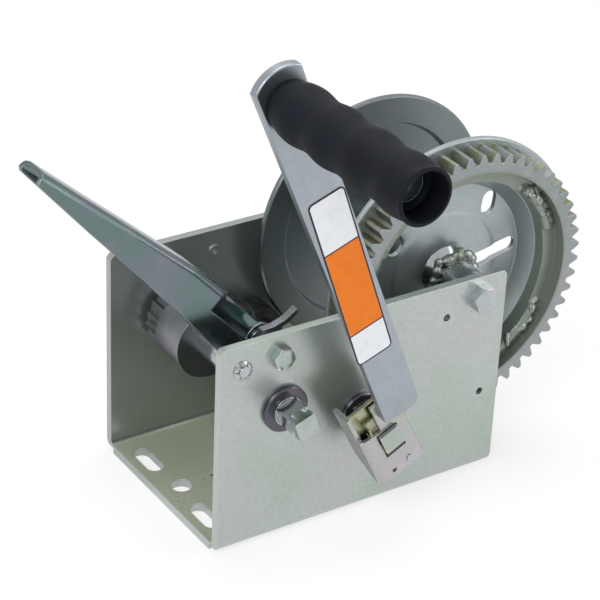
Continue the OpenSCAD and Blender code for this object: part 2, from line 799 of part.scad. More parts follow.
module crank_arm() {
    end_r = 21.5;
    foot = [17, -2.6];
    foot_right = foot[1] + arm_foot_w;
    head = crank_l + end_r + over;
    head_left = -16.5;
    color([0.72, 0.73, 0.74]) plate_y(arm_front, arm_back) intersection() {
        polygon([crank_pt(foot[0], foot[1]), crank_pt(head, head_left), crank_pt(head, head_left + arm_w),
            crank_pt(foot[0] + 4, foot_right), crank_pt(foot[0], foot_right - 2.5),
            crank_pt(foot[0] - 1, foot[1] + 13)]);
        union() {
            translate(grip_at) circle(end_r);
            polygon([crank_pt(0, -arm_w), crank_pt(crank_l, -arm_w), crank_pt(crank_l, arm_w),
                crank_pt(0, arm_w)]);
        }
    }
}

// A bent bracket: a front plate with a window for the shaft's end, and two side walls towards the frame.
// Its front is cut away beside the arm.
module crank_bracket() {
    half = bracket_w / 2;
    back = bracket_front + bracket_depth;
    color([0.74, 0.74, 0.75]) difference() {
        bracket_place() translate([bracket_low, 0, 0]) rotate([90, 0, 90])
            linear_extrude(bracket_high - bracket_low) translate([bracket_off, bracket_front]) difference() {
                rounded_u_2d(bracket_w, bracket_depth, bracket_bend);
                translate([0, bracket_t])
                    rounded_u_2d(bracket_w - 2 * bracket_t, bracket_depth, bracket_bend - bracket_t);
            }
        plate_y(bracket_front - over, bracket_front + bracket_t + over)
            polygon([bracket_pt(window_top, -window_half), bracket_pt(window_low, -window_half),
                bracket_pt(window_low, window_half), bracket_pt(window_top, window_half)]);
        plate_y(bracket_front - over, bracket_front + bracket_bend)
            polygon([bracket_pt(window_top + 3, -2 * half), bracket_pt(window_top + 2.5, -half),
                bracket_pt(window_top + 1, notch_right), bracket_pt(bracket_high + over, notch_right),
                bracket_pt(bracket_high + over, -2 * half)]);
        plate_y(bracket_front - over, bracket_front + bracket_t + over)
            translate(bracket_pt(bracket_hole_at[0], bracket_hole_at[1])) circle(bracket_hole_r);
        for (at = bracket_rivet_at)
            bar_y(bracket_pt(at[0], at[1]), rivet_r, bracket_front - over, bracket_front + bracket_t + over);
        bracket_place() for (side = [-1, 1]) translate([bracket_low - over, side * half + bracket_off, 0])
            rotate([90, 0, 0]) translate([0, 0, -5]) linear_extrude(10)
                polygon([[0, bracket_front + 6], [20, back + over], [0, back + over]]);
    }
}

// The place of the bracket: X along it, Y across the frame, Z to its left.
module bracket_place() {
    translate([shaft_b_at[0], 0, shaft_b_at[1]]) rotate([0, -bracket_angle, 0])
        rotate([-90, 0, 0]) children();
}

// One rivet holds the hub below the shaft, the other the arm above it.
module bracket_rivets() {
    color([0.75, 0.76, 0.77]) {
        at = bracket_rivet_at;
        bar_y(bracket_pt(at[0][0], at[0][1]), rivet_r, bracket_front - 0.8, latch_y - loose);
        bar_y(bracket_pt(at[1][0], at[1][1]), rivet_r, bracket_front, latch_y - loose);
    }
}

// The drive hub fills the bracket behind the latch: a thin plate with a block that carries the square hole.
module drive_hub() {
    left = bracket_off - bracket_w / 2 + bracket_t;
    right = bracket_off + bracket_w / 2 - bracket_t;
    color([0.6, 0.6, 0.6]) difference() {
        union() {
            plate_y(hub_y, hub_y + hub_l) polygon([bracket_pt(-hub_half, left), bracket_pt(hub_half, left),
                bracket_pt(hub_half, right), bracket_pt(-hub_half, right)]);
            plate_y(hub_y, hub_y + 3) polygon([bracket_pt(0, left), bracket_pt(bracket_high - 1, left),
                bracket_pt(bracket_high - 1, right), bracket_pt(0, right)]);
        }
        plate_y(hub_y - over, hub_y + hub_l + over)
            translate(shaft_b_at) rotate(bracket_angle) square(square_af, center = true);
    }
}

// The latch plate hooks into the groove of the seat. It slides to the left, drawn by a lip for the finger.
module latch_plate() {
    gap = seat_groove_r + 0.15;
    wide = square_af / 2 + 0.3;
    neck = 3.2 - square_af / 2;
    low = -hub_half + 0.5;
    top = 17.5;
    right = bracket_off + bracket_w / 2 - bracket_t - 2 * loose;
    lip_from = 12;
    lip_t = 1;
    color([0.68, 0.7, 0.6]) {
        plate_y(latch_y, latch_y + latch_t) difference() {
            polygon([bracket_pt(low, latch_left), bracket_pt(top, latch_left), bracket_pt(top, right),
                bracket_pt(low, right)]);
            translate(shaft_b_at) circle(gap);
            polygon([bracket_pt(-wide, neck), bracket_pt(wide, neck), bracket_pt(wide, 20),
                bracket_pt(-wide, 20)]);
        }
        plate_y(bracket_front - latch_lip, latch_y + latch_t)
            polygon([bracket_pt(lip_from, latch_left), bracket_pt(top, latch_left),
                bracket_pt(top, latch_left + lip_t), bracket_pt(lip_from, latch_left + lip_t)]);
    }
}

// A leaf spring against the left wall, drawn flat as when the latch is pulled.
module latch_spring() {
    left = -bracket_w / 2 + bracket_off + bracket_t;
    leaf_t = 0.5;
    color([0.5, 0.5, 0.5]) plate_y(latch_y + bracket_bend - bracket_t, latch_y + latch_t)
        polygon([bracket_pt(-10, left), bracket_pt(14, left), bracket_pt(14, left + leaf_t),
            bracket_pt(-10, left + leaf_t)]);
}

module grip_rod() {
    color([0.7, 0.72, 0.75]) {
        bar_y(grip_at, rod_r, grip_end + grip_in, arm_front);
        bar_y(grip_at, rod_r + 1.5, grip_end + grip_in, grip_end + grip_in + rod_head_t);
    }
}

module grip_washer() {
    color([0.7, 0.7, 0.7]) tube_y(grip_at, rod_r + 5.5, rod_r + fit, grip_y + loose, arm_front);
}

module grip_core() {
    outer_end = grip_end + grip_in + rod_head_t + loose;
    color([0.15, 0.15, 0.16]) tube_y(grip_at, rod_r + core_wall, rod_r + fit, outer_end, grip_y);
}

// The soft sleeve: a round grip with four shallow finger waves and an open outer end.
module grip_sleeve() {
    steps = 48;
    r0 = grip_d / 2;
    wave = 0.7;
    waves = 4;
    bore = rod_r + core_wall;
    mouth = r0 - grip_wall;
    color([0.13, 0.13, 0.14]) turned_y(grip_at, concat(
        [[bore, grip_y], [r0 - 2.2, grip_y]],
        [for (i = [1 : steps - 1]) let (u = i / steps)
            [r0 - wave - wave * cos(360 * waves * u) - 1.1 * (u < 0.06 ? 1 - u / 0.06 : 0),
                grip_y - grip_l * u]],
        [[r0 - 1, grip_end + 0.6], [r0 - 1.8, grip_end], [mouth, grip_end],
            [mouth, grip_end + grip_in], [bore, grip_end + grip_in + rod_head_t + loose]]));
}

module grip_cap() {
    inner_end = grip_end + grip_in;
    color([0.3, 0.35, 0.42]) tube_y(grip_at, rod_r + 2.8, rod_r + 1.5, inner_end, inner_end + 1);
}

module label_plate() {
    color([0.9, 0.5, 0.15]) plate_y(arm_front - label_t, arm_front) polygon([for (k = [0 : 3])
        crank_pt(label_along[k < 2 ? 0 : 1], label_across[k == 0 || k == 3 ? 0 : 1])]);
}

frame();
bushings();
axle_bolt();
axle_nut();
axle_washer();
axle_sleeve();
thrust_washers();
hub_tube();
near_flange();
reel_gear();
barrel();
far_flange();
shaft_a();
pinion_a();
ratchet_wheel();
brake_drum();
ring_a();
shaft_b();
pinion_b();
intermediate_gear();
collar_b();
ring_b();
pivot_bolt();
pivot_nut();
pivot_spacers();
pawl();
pawl_spring();
brake_lever();
torque_tube();
shoe_arm();
brake_lining();
lining_rivets();
stop_stud();
push_nut();
crank_arm();
crank_bracket();
bracket_rivets();
drive_hub();
latch_plate();
latch_spring();
grip_rod();
grip_washer();
grip_core();
grip_sleeve();
grip_cap();
label_plate();
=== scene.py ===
# %% [markdown]
# A trailer winch, dressed for its portrait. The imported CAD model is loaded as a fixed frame: every
# bolt, gear and plate is already in its place, in metres, and already belongs to a body that a
# joint can move. Blender's work is what CAD can't show: plated steel, soft edges, weld beads,
# threads, rubber and light.

import json
import math

import bmesh
import bpy
from mathutils import Matrix, Vector


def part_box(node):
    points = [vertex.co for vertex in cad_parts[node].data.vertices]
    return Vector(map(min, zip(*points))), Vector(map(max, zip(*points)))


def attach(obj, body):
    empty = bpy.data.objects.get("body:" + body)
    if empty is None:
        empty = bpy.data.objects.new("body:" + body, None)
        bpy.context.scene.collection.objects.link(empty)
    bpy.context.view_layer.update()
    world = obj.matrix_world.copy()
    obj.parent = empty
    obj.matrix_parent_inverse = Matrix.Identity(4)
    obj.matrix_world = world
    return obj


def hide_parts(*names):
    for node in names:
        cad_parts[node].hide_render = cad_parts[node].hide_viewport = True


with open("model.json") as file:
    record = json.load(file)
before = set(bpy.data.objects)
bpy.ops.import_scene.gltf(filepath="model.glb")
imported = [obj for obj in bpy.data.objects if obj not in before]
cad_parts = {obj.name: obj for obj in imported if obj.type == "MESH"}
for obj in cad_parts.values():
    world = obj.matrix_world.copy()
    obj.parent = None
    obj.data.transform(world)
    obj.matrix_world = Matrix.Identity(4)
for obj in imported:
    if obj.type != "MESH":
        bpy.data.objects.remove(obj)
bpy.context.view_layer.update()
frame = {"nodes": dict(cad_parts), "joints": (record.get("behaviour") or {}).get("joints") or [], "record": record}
nodes = frame["nodes"]
bodies = frame["record"]["behaviour"]["bodies"]
body_of_node = {node: body for body, members in bodies.items() for node in members}
slot_of_node = {part["node"]: part["material_slot"] for part in frame["record"]["subparts"]}
print("nodes:", len(nodes), "bodies:", len(bodies))

# %% [markdown]
# The winch's layout rests on a few axes that run across the frame. They are worked out here from
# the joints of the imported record, so a piece made in Blender sits on the same shaft as its CAD
# neighbours.

# %% Axes and faces
joint_at = {joint["name"]: Vector(joint["pos_m"]) for joint in frame["joints"] if "pos_m" in joint}
reel_axis = joint_at["reel_spin"]
crank_axis = joint_at["crank_spin"]
grip_axis = joint_at["grip_spin"]
pivot_axis = joint_at["brake_swing"]
crank_run = grip_axis - crank_axis
crank_run.y = 0
crank_along = crank_run.normalized()
crank_across = Vector((crank_along.z, 0, -crank_along.x))
MM = 0.001
print("crank radius in mm:", round(crank_run.length / MM, 1))

# %% [markdown]
# The camera repeats the photograph's view. Its place, its angles and its focal length were solved
# from the frame's corners and the gears, so the picture's edges frame the winch just as the photo
# does.

# %% Camera
CAMERA_PLACE = Vector((-0.6109, -0.8962, 0.7161))
CAMERA_AZIMUTH = math.radians(34.12)
CAMERA_DOWN = math.radians(29.34)
CAMERA_ROLL = math.radians(2.59)
FOCAL_PIXELS = 2158.87
PICTURE_PIXELS = 600
SENSOR_MM = 36


def make_camera():
    data = bpy.data.cameras.new("portrait_camera")
    data.sensor_width = SENSOR_MM
    data.lens = FOCAL_PIXELS * SENSOR_MM / PICTURE_PIXELS
    data.clip_end = 20
    camera = bpy.data.objects.new("portrait_camera", data)
    bpy.context.scene.collection.objects.link(camera)
    forward = Vector((
        math.sin(CAMERA_AZIMUTH) * math.cos(CAMERA_DOWN),
        math.cos(CAMERA_AZIMUTH) * math.cos(CAMERA_DOWN),
        -math.sin(CAMERA_DOWN),
    ))
    level = Vector((math.cos(CAMERA_AZIMUTH), -math.sin(CAMERA_AZIMUTH), 0))
    upright = level.cross(forward)
    right = level * math.cos(CAMERA_ROLL) + upright * math.sin(CAMERA_ROLL)
    up = upright * math.cos(CAMERA_ROLL) - level * math.sin(CAMERA_ROLL)
    turn = Matrix((right, up, -forward)).transposed().to_4x4()
    camera.matrix_world = Matrix.Translation(CAMERA_PLACE) @ turn
    bpy.context.scene.camera = camera
    return camera


camera = make_camera()
bpy.context.scene.view_settings.view_transform = "Standard"
print("lens in mm:", round(camera.data.lens, 2))

# %% [markdown]
# Materials are node trees built by code. These small helpers add a node, join two sockets and turn
# a colour as it is seen on a screen into the linear values that Blender's nodes work with.

# %% Helpers for node trees


def seen(red, green, blue):
    def linear(value):
        value = value / 255
        return value / 12.92 if value <= 0.04045 else ((value + 0.055) / 1.055) ** 2.4

    return (linear(red), linear(green), linear(blue), 1.0)


def add(tree, kind, **values):
    node = tree.nodes.new(kind)
    for key, value in values.items():
        setattr(node, key, value)
    return node


def math_node(tree, operation, first, second=0.0, clamp=False):
    node = add(tree, "ShaderNodeMath", operation=operation, use_clamp=clamp)
    for socket, value in zip(node.inputs, (first, second)):
        if isinstance(value, (int, float)):
            socket.default_value = value
        else:
            tree.links.new(value, socket)
    return node.outputs[0]


def map_range(tree, value, low, high, to_low=0.0, to_high=1.0):
    node = add(tree, "ShaderNodeMapRange", interpolation_type="SMOOTHSTEP")
    tree.links.new(value, node.inputs["Value"])
    for name, number in (("From Min", low), ("From Max", high), ("To Min", to_low), ("To Max", to_high)):
        node.inputs[name].default_value = number
    return node.outputs["Result"]


def mix_colour(tree, factor, first, second, blend="MIX"):
    node = add(tree, "ShaderNodeMix", data_type="RGBA", blend_type=blend)
    for socket, value in ((node.inputs[0], factor), (node.inputs[6], first), (node.inputs[7], second)):
        if isinstance(value, (int, float, tuple)):
            socket.default_value = value
        else:
            tree.links.new(value, socket)
    return node.outputs[2]


def noise(tree, where, scale, detail=3.0, roughness=0.5):
    node = add(tree, "ShaderNodeTexNoise")
    tree.links.new(where, node.inputs["Vector"])
    node.inputs["Detail"].default_value = detail
    node.inputs["Roughness"].default_value = roughness
    if isinstance(scale, (int, float)):
        node.inputs["Scale"].default_value = scale
    else:
        tree.links.new(scale, node.inputs["Scale"])
    return node.outputs["Fac"]


def new_group(name, inputs, outputs):
    tree = bpy.data.node_groups.new(name, "ShaderNodeTree")
    for label, kind, value in inputs:
        socket = tree.interface.new_socket(label, in_out="INPUT", socket_type=kind)
        if value is not None:
            socket.default_value = value
    for label, kind in outputs:
        tree.interface.new_socket(label, in_out="OUTPUT", socket_type=kind)
    return tree, add(tree, "NodeGroupInput"), add(tree, "NodeGroupOutput")


print("helpers ready")

# %% [markdown]
# Zinc plating is never one grey. The passivation leaves broad blotches of faint green and pink, and
# the steel under it shows fine cloudy spots. One group holds that variation, so each metal uses the
# same idea with its own colours. It puts out a colour, a roughness and a height.

# %% Plating group
FINE_SCALE = 420.0
SPECK_AMOUNT = 0.12
SPECK_COLOUR = (0.12, 0.13, 0.12, 1.0)
GRIT_AMOUNT = 0.08


def make_plating_group():
    tree, source, sink = new_group(
        "plating",
        [
            ("Base", "NodeSocketColor", None),
            ("Cool", "NodeSocketColor", None),
            ("Warm", "NodeSocketColor", None),
            ("Blotch scale", "NodeSocketFloat", 18.0),
            ("Blotch amount", "NodeSocketFloat", 0.5),
            ("Roughness", "NodeSocketFloat", 0.3),
            ("Roughness spread", "NodeSocketFloat", 0.12),
        ],
        [("Color", "NodeSocketColor"), ("Roughness", "NodeSocketFloat"), ("Height", "NodeSocketFloat")],
    )
    where = add(tree, "ShaderNodeTexCoord").outputs["Object"]
    shifted = add(tree, "ShaderNodeVectorMath", operation="ADD")
    tree.links.new(where, shifted.inputs[0])
    shifted.inputs[1].default_value = (3.1, 1.7, 5.3)
    blotch = noise(tree, where, source.outputs["Blotch scale"], 2.0)
    second = noise(tree, shifted.outputs[0], source.outputs["Blotch scale"], 3.0)
    fine = noise(tree, where, FINE_SCALE, 4.0, 0.65)
    amount = source.outputs["Blotch amount"]
    cool_part = math_node(tree, "MULTIPLY", map_range(tree, blotch, 0.45, 0.68), amount)
    warm_part = math_node(tree, "MULTIPLY", map_range(tree, second, 0.5, 0.72), amount)
    colour = mix_colour(tree, cool_part, source.outputs["Base"], source.outputs["Cool"])
    colour = mix_colour(tree, warm_part, colour, source.outputs["Warm"])
    speck = map_range(tree, fine, 0.3, 0.7, 0.0, SPECK_AMOUNT)
    colour = mix_colour(tree, speck, colour, SPECK_COLOUR)
    tree.links.new(colour, sink.inputs["Color"])
    above = math_node(tree, "SUBTRACT", second, 0.5)
    spread = math_node(tree, "MULTIPLY", above, source.outputs["Roughness spread"])
    grit = math_node(tree, "MULTIPLY", math_node(tree, "SUBTRACT", fine, 0.5), GRIT_AMOUNT)
    uneven = math_node(tree, "ADD", spread, grit)
    rough = math_node(tree, "ADD", source.outputs["Roughness"], uneven, clamp=True)
    tree.links.new(rough, sink.inputs["Roughness"])
    tree.links.new(fine, sink.inputs["Height"])
    return tree


plating_group = make_plating_group()
print("group:", plating_group.name)

# %% [markdown]
# Cut and pressed steel has edges that are a little rounded and a little brighter, where handling
# polishes the zinc. The Bevel node finds those edges at render time. This group compares its normal
# with the surface's own and gives back the rounded normal and a mask of the edges.

# %% Edge group


def make_edge_group():
    tree, source, sink = new_group(
        "soft_edge",
        [("Radius", "NodeSocketFloat", 0.0006)],
        [("Normal", "NodeSocketVector"), ("Edge", "NodeSocketFloat")],
    )
    bevel = add(tree, "ShaderNodeBevel", samples=6)
    tree.links.new(source.outputs["Radius"], bevel.inputs["Radius"])
    facing = add(tree, "ShaderNodeNewGeometry").outputs["Normal"]
    compare = add(tree, "ShaderNodeVectorMath", operation="DOT_PRODUCT")
    tree.links.new(bevel.outputs["Normal"], compare.inputs[0])
    tree.links.new(facing, compare.inputs[1])
    apart = math_node(tree, "SUBTRACT", 1.0, compare.outputs["Value"])
    tree.links.new(map_range(tree, apart, 0.015, 0.2), sink.inputs["Edge"])
    tree.links.new(bevel.outputs["Normal"], sink.inputs["Normal"])
    return tree


edge_group = make_edge_group()
print("group:", edge_group.name)

# %% [markdown]
# A plated metal joins the two groups: blotches feed the base colour, the edge mask lightens it, and
# the fine noise drives a very shallow bump over the rounded normal. A grain is added for brushed
# pieces by stretching a noise along the piece. Sheet that was bent or pressed is never quite flat,
# so a broad and faint sway bends its reflections. The teeth of the gears take a yellower colour in
# patches, and the reel gear's recess stays dull. The frame's base is dull where it faces up, and there
# a painted reflection makes it lighter and yellower; its far plate is a little darker, as painted shade.

# %% Plated metal
BASE_TOP = 5 * MM
BASE_FADE = 2 * MM
BASE_METAL = 0.35
FAR_SHADE_FADE = 20 * MM
MOUTH_RADIUS = (71.5 * MM, 72.5 * MM)
RECESS_METAL = 0.4
RELIEF_DEPTH = 0.4 * MM
SWAY_SCALE = 16.0


def place_group(tree, group, **values):
    node = add(tree, "ShaderNodeGroup", node_tree=group)
    for label, value in values.items():
        node.inputs[label.replace("_", " ")].default_value = value
    return node


def new_material(name):
    material = bpy.data.materials.new(name)
    material.use_nodes = True
    tree = material.node_tree
    return material, tree, tree.nodes["Principled BSDF"]


def brushed_height(tree, turn, stretch, scale):
    mapping = add(tree, "ShaderNodeMapping", vector_type="TEXTURE")
    tree.links.new(add(tree, "ShaderNodeTexCoord").outputs["Object"], mapping.inputs["Vector"])
    mapping.inputs["Rotation"].default_value = turn
    mapping.inputs["Scale"].default_value = stretch
    return noise(tree, mapping.outputs[0], scale, 2.0)


def away_from_reel(tree):
    flat = add(tree, "ShaderNodeVectorMath", operation="MULTIPLY_ADD")
    tree.links.new(add(tree, "ShaderNodeTexCoord").outputs["Object"], flat.inputs[0])
    flat.inputs[1].default_value = (1.0, 0.0, 1.0)
    flat.inputs[2].default_value = (-reel_axis.x, 0.0, -reel_axis.z)
    length = add(tree, "ShaderNodeVectorMath", operation="LENGTH")
    tree.links.new(flat.outputs[0], length.inputs[0])
    return length.outputs["Value"]


def cut_colour(tree, colour, cut, recess):
    facing = add(tree, "ShaderNodeSeparateXYZ")
    tree.links.new(add(tree, "ShaderNodeNewGeometry").outputs["True Normal"], facing.inputs[0])
    side = math_node(tree, "SUBTRACT", 1.0, math_node(tree, "ABSOLUTE", facing.outputs[1]), clamp=True)
    where = add(tree, "ShaderNodeTexCoord").outputs["Object"]
    patches = map_range(tree, noise(tree, where, 150.0, 3.0, 0.6), 0.42, 0.6, 0.1, 0.8)
    teeth = map_range(tree, away_from_reel(tree), *MOUTH_RADIUS)
    spots = math_node(tree, "MULTIPLY", patches, teeth)
    part = math_node(tree, "MULTIPLY", map_range(tree, side, 0.1, 0.5), spots)
    inner = math_node(tree, "SUBTRACT", 1.0, teeth)
    colour = mix_colour(tree, part, colour, cut)
    return mix_colour(tree, math_node(tree, "MULTIPLY", inner, 0.8), colour, recess), inner


# Painted light on the frame: the base's upward face is painted lighter and yellower as a painted reflection, and
# the far plate is painted darker as painted shade.
def frame_painted_light(tree, colour, base_reflection_tint, far_shade_tint, metal):
    place = add(tree, "ShaderNodeSeparateXYZ")
    tree.links.new(add(tree, "ShaderNodeTexCoord").outputs["Object"], place.inputs[0])
    facing = add(tree, "ShaderNodeSeparateXYZ")
    tree.links.new(add(tree, "ShaderNodeNewGeometry").outputs["True Normal"], facing.inputs[0])
    # painted reflection: lighter and yellower on the base's upward face
    low = map_range(tree, place.outputs[2], BASE_TOP, BASE_TOP + BASE_FADE, 1.0, 0.0)
    low = math_node(tree, "MULTIPLY", low, map_range(tree, facing.outputs[2], 0.6, 0.95))
    # painted shade: darker towards the far plate
    far = map_range(tree, place.outputs[1], 0.0, FAR_SHADE_FADE)
    colour = mix_colour(tree, math_node(tree, "MULTIPLY", far, 0.45), colour, far_shade_tint)
    colour = mix_colour(tree, math_node(tree, "MULTIPLY", low, 0.85), colour, base_reflection_tint)
    return colour, map_range(tree, low, 0.0, 1.0, metal, BASE_METAL)


def plated_metal(name, base, cool, warm, rough, blotch=18.0, amount=0.5, edge=0.0006, bump=0.03, grain=None,
                 cut=None, recess=None, metal=1.0, sway=0.0, zones=None):
    material, tree, shader = new_material(name)
    plating = place_group(tree, plating_group, Base=base, Cool=cool, Warm=warm, Blotch_scale=blotch,
                          Blotch_amount=amount, Roughness=rough)
    soft = place_group(tree, edge_group, Radius=edge)
    bright = tuple(min(1.0, 0.35 + 0.75 * part) for part in base[:3]) + (1.0,)
    worn = math_node(tree, "MULTIPLY", soft.outputs["Edge"], 0.45)
    colour = mix_colour(tree, worn, plating.outputs["Color"], bright)
    height = plating.outputs["Height"]
    if grain is not None:
        streaks = brushed_height(tree, *grain)
        height = math_node(tree, "ADD", height, math_node(tree, "MULTIPLY", streaks, 1.5))
        colour = mix_colour(tree, map_range(tree, streaks, 0.35, 0.7, 0.0, 0.22), colour, cool)
    shader.inputs["Metallic"].default_value = metal
    if cut is not None:
        colour, inner = cut_colour(tree, colour, cut, recess)
        tree.links.new(map_range(tree, inner, 0.0, 1.0, metal, RECESS_METAL), shader.inputs["Metallic"])
    if zones is not None:
        colour, part = frame_painted_light(tree, colour, *zones, metal)
        tree.links.new(part, shader.inputs["Metallic"])
    tree.links.new(colour, shader.inputs["Base Color"])
    tree.links.new(plating.outputs["Roughness"], shader.inputs["Roughness"])
    relief = add(tree, "ShaderNodeBump")
    relief.inputs["Strength"].default_value = bump
    relief.inputs["Distance"].default_value = RELIEF_DEPTH
    tree.links.new(height, relief.inputs["Height"])
    surface = soft.outputs["Normal"]
    if sway:
        broad = add(tree, "ShaderNodeBump")
        broad.inputs["Distance"].default_value = sway
        where = add(tree, "ShaderNodeTexCoord").outputs["Object"]
        tree.links.new(noise(tree, where, SWAY_SCALE, 1.0), broad.inputs["Height"])
        tree.links.new(surface, broad.inputs["Normal"])
        surface = broad.outputs["Normal"]
    tree.links.new(surface, relief.inputs["Normal"])
    tree.links.new(relief.outputs["Normal"], shader.inputs["Normal"])
    return material


crank_turn = (0.0, math.atan2(crank_along.x, crank_along.z), 0.0)
print("metal helper ready")

# %% [markdown]
# Each finish on the winch gets its own plain name. The numbers are colours as they look on the real
# part in even light, so the pieces also look right under other lamps.

# %% The winch's metals
METALS = {
    "plate_zinc": (
        (184, 191, 188), (166, 184, 170), (190, 184, 186), 0.3,
        dict(blotch=14.0, amount=0.55, bump=0.02, metal=0.8, sway=0.0006,
             # painted reflection tint for the base's upward face, then painted shade tint for the far plate
             zones=(seen(196, 202, 176), seen(146, 152, 150))),
    ),
    "flange_zinc": (
        (168, 177, 180), (152, 170, 164), (178, 174, 178), 0.34,
        dict(blotch=22.0, amount=0.5, metal=0.75, sway=0.0008),
    ),
    "reel_zinc": (
        (122, 130, 132), (106, 118, 114), (132, 130, 136), 0.36,
        dict(blotch=22.0, amount=0.5),
    ),
    "gear_zinc": (
        (150, 156, 158), (134, 146, 140), (166, 160, 164), 0.34,
        dict(blotch=45.0, amount=0.6, bump=0.06, metal=0.85, cut=seen(136, 134, 98),
             recess=seen(132, 142, 130)),
    ),
    "fastener_zinc": (
        (180, 186, 190), (152, 172, 162), (200, 190, 194), 0.2,
        dict(blotch=90.0, amount=0.6, edge=0.0004),
    ),
    "shaft_zinc": (
        (178, 184, 186), (160, 178, 160), (204, 194, 196), 0.16,
        dict(blotch=70.0, amount=0.6, edge=0.0004),
    ),
    "drum_zinc": (
        (132, 134, 142), (116, 124, 118), (146, 136, 146), 0.3,
        dict(blotch=60.0, amount=0.6, edge=0.0005),
    ),
    "bushing_steel": (
        (92, 90, 98), (72, 72, 80), (122, 114, 120), 0.24,
        dict(blotch=60.0, edge=0.0006),
    ),
    "lever_zinc": (
        (114, 124, 130), (100, 124, 118), (152, 138, 154), 0.24,
        dict(blotch=30.0, amount=0.7, edge=0.0012, bump=0.015, sway=0.0025),
    ),
    "weld_zinc": (
        (150, 158, 154), (124, 134, 112), (176, 172, 166), 0.36,
        dict(blotch=160.0, amount=0.8, edge=0.0002, bump=0.1, metal=0.85),
    ),
    "crank_zinc": (
        (166, 172, 180), (150, 162, 164), (178, 174, 182), 0.34,
        dict(blotch=20.0, amount=0.4, edge=0.0009, grain=(crank_turn, (1.0, 1.0, 14.0), 260.0)),
    ),
    "bracket_zinc": (
        (182, 180, 184), (176, 180, 160), (200, 184, 194), 0.27,
        dict(blotch=40.0, amount=0.7, edge=0.0006),
    ),
    "latch_zinc": (
        (162, 164, 140), (140, 156, 112), (188, 176, 150), 0.26,
        dict(blotch=90.0, amount=0.8, edge=0.0004),
    ),
    "spring_steel": (
        (140, 142, 144), (120, 124, 122), (150, 146, 140), 0.3,
        dict(blotch=120.0, edge=0.0002),
    ),
    "brass": (
        (204, 170, 100), (184, 160, 90), (214, 166, 112), 0.28,
        dict(blotch=150.0, edge=0.0002),
    ),
    "cap_steel": (
        (120, 150, 184), (96, 124, 150), (150, 160, 180), 0.16,
        dict(blotch=120.0, edge=0.0003),
    ),
}
finishes = {
    name: plated_metal(name, seen(*base), seen(*cool), seen(*warm), rough, **options)
    for name, (base, cool, warm, rough, options) in METALS.items()
}
print("metals:", len(finishes))

# %% [markdown]
# The collar and the retaining rings are coated black. A dark coat still shows dust and light rubs
# on its edges.

# %% Black coat and brake lining


def coated_black(name, base, rub, rough):
    material, tree, shader = new_material(name)
    where = add(tree, "ShaderNodeTexCoord").outputs["Object"]
    soft = place_group(tree, edge_group, Radius=0.0005)
    dust = map_range(tree, noise(tree, where, 140.0, 4.0, 0.6), 0.45, 0.75, 0.0, 0.5)
    colour = mix_colour(tree, dust, base, rub)
    colour = mix_colour(tree, math_node(tree, "MULTIPLY", soft.outputs["Edge"], 0.5), colour, rub)
    tree.links.new(colour, shader.inputs["Base Color"])
    tree.links.new(map_range(tree, dust, 0.0, 0.5, rough, rough + 0.2), shader.inputs["Roughness"])
    tree.links.new(soft.outputs["Normal"], shader.inputs["Normal"])
    return material


def brake_lining():
    material, tree, shader = new_material("lining")
    where = add(tree, "ShaderNodeTexCoord").outputs["Object"]
    grains = add(tree, "ShaderNodeTexVoronoi")
    tree.links.new(where, grains.inputs["Vector"])
    grains.inputs["Scale"].default_value = 900.0
    fibres = noise(tree, where, 500.0, 5.0, 0.7)
    grain = map_range(tree, grains.outputs["Distance"], 0.2, 0.6)
    colour = mix_colour(tree, grain, seen(150, 110, 70), seen(84, 62, 48))
    colour = mix_colour(tree, map_range(tree, fibres, 0.55, 0.7, 0.0, 0.6), colour, seen(180, 150, 110))
    tree.links.new(colour, shader.inputs["Base Color"])
    shader.inputs["Roughness"].default_value = 0.85
    relief = add(tree, "ShaderNodeBump")
    relief.inputs["Strength"].default_value = 0.4
    relief.inputs["Distance"].default_value = 0.0002
    tree.links.new(fibres, relief.inputs["Height"])
    tree.links.new(relief.outputs["Normal"], shader.inputs["Normal"])
    return material


finishes["black_steel"] = coated_black("black_steel", seen(30, 31, 34), seen(70, 72, 76), 0.32)
finishes["core_plastic"] = coated_black("core_plastic", seen(20, 20, 22), seen(40, 40, 44), 0.45)
finishes["lining"] = brake_lining()
print("coats ready")

# %% [markdown]
# The grip is a foam rubber sleeve. Seen close, its skin is matt with a fine pebble and small light
# specks of dust, which catch light on the crests of its finger waves. Two noises of different size
# make the pebble, and only the peaks of the finer one are lightened.

# %% Grip rubber


def grip_rubber():
    material, tree, shader = new_material("grip_rubber")
    where = add(tree, "ShaderNodeTexCoord").outputs["Object"]
    pebble = noise(tree, where, 620.0, 6.0, 0.6)
    cloud = noise(tree, where, 60.0, 4.0, 0.6)
    lint = noise(tree, where, 240.0, 8.0, 0.75)
    colour = mix_colour(tree, map_range(tree, cloud, 0.35, 0.7), seen(9, 12, 18), seen(17, 22, 30))
    colour = mix_colour(tree, map_range(tree, lint, 0.6, 0.74, 0.0, 0.2), colour, seen(72, 76, 84))
    tree.links.new(colour, shader.inputs["Base Color"])
    tree.links.new(map_range(tree, cloud, 0.3, 0.7, 0.55, 0.72), shader.inputs["Roughness"])
    shader.inputs["Specular IOR Level"].default_value = 0.18
    relief = add(tree, "ShaderNodeBump")
    relief.inputs["Strength"].default_value = 0.5
    relief.inputs["Distance"].default_value = 0.00035
    tree.links.new(pebble, relief.inputs["Height"])
    tree.links.new(relief.outputs["Normal"], shader.inputs["Normal"])
    return material


finishes["grip_rubber"] = grip_rubber()
print("rubber ready")

# %% [markdown]
# The crank carries a printed film. Its fields are kept plain here: a dark outline, a white field,
# an orange field and a small white field, without words or signs. The film has its own UV map, with
# U along the crank and V across it, so the fields are cut by simple comparisons.

# %% Label film
LABEL_ALONG = (64 * MM, 175 * MM)
LABEL_ACROSS = (-8 * MM, 15 * MM)
LABEL_CORNER = 3 * MM
LABEL_OUTLINE = 0.9 * MM
LABEL_SPLITS = (0.19, 0.695)
LABEL_LINE = 0.004


